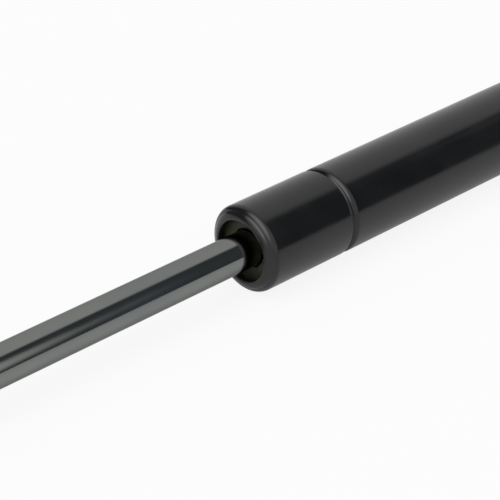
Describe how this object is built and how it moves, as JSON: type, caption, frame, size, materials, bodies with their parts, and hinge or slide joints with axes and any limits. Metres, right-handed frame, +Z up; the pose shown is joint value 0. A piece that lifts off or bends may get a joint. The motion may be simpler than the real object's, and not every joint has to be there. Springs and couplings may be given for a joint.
{
  "type": "gas spring",
  "caption": "Gas spring: black rolled tube with a polished rod that slides in and out, and a clipped ball socket with a threaded ball stud at each end.",
  "frame": {"origin": "centre of the tube end's ball stud seat, where its thread leaves its hexagon", "axes": "+X along the spring from the tube's end to the rod's end; -Y along both ball studs' threads; +Z up when the spring lies on its tube; the spring's own axis is 12 mm from the origin along +Y"},
  "size_m": [0.3257, 0.0355, 0.019],
  "materials": {
    "black_paint": "smooth black paint on steel, satin to gloss",
    "rod_steel": "nitrided and polished dark grey steel, mirror like, with fine rings round it",
    "zinc_steel": "bright zinc plating on turned steel",
    "dark_steel": "phosphated dark steel",
    "spring_wire": "drawn spring wire",
    "rubber": "black nitrile rubber",
    "brass_guide": "turned brass",
    "bush_liner": "dark low friction liner",
    "guide_plastic": "natural acetal",
    "piston_alloy": "die cast light alloy"
  },
  "bodies": {
    "cylinder": {"pressure_tube": "black_paint", "end_plug": "zinc_steel", "end_weld": "black_paint", "end_ring": "dark_steel", "dust_wiper": "rubber", "rod_guide": "brass_guide", "guide_bush": "bush_liner", "seal_support_washer": "guide_plastic", "rod_seal": "rubber", "seal_retaining_washer": "dark_steel", "tube_lock_nut": "zinc_steel", "tube_ball_socket": "zinc_steel"},
    "tube_clip": {"tube_socket_clip": "spring_wire"},
    "tube_stud": {"tube_ball_stud": "zinc_steel"},
    "ring": {"piston_ring": "guide_plastic"},
    "rod": {"piston_rod": "rod_steel", "rebound_stop": "dark_steel", "piston_disc": "dark_steel", "piston": "piston_alloy", "piston_washer": "dark_steel", "rod_lock_nut": "zinc_steel", "rod_ball_socket": "zinc_steel"},
    "rod_clip": {"rod_socket_clip": "spring_wire"},
    "rod_stud": {"rod_ball_stud": "zinc_steel"}
  },
  "joints": [
    {"name": "rod_slide", "type": "slide", "parent": "cylinder", "child": "ring", "axis": [-1, 0, 0], "range_m": [0, 0.1], "stiffness_N_per_m": 600, "springref_m": -0.33333},
    {"name": "rod_turn", "type": "hinge", "parent": "ring", "child": "rod", "pos_m": [0.15, 0.012, 0], "axis": [1, 0, 0], "continuous": true},
    {"name": "tube_stud_swivel", "type": "hinge", "parent": "cylinder", "child": "tube_stud", "pos_m": [0, 0.012, 0], "axis": [0, -1, 0], "continuous": true},
    {"name": "rod_stud_swivel", "type": "hinge", "parent": "rod", "child": "rod_stud", "pos_m": [0.30925, 0.012, 0], "axis": [0, -1, 0], "continuous": true},
    {"name": "tube_clip_pull", "type": "slide", "parent": "cylinder", "child": "tube_clip", "axis": [0, 0, 1], "range_m": [0, 0.0136]},
    {"name": "rod_clip_pull", "type": "slide", "parent": "rod", "child": "rod_clip", "axis": [0, 0, 1], "range_m": [0, 0.0136]}
  ]
}
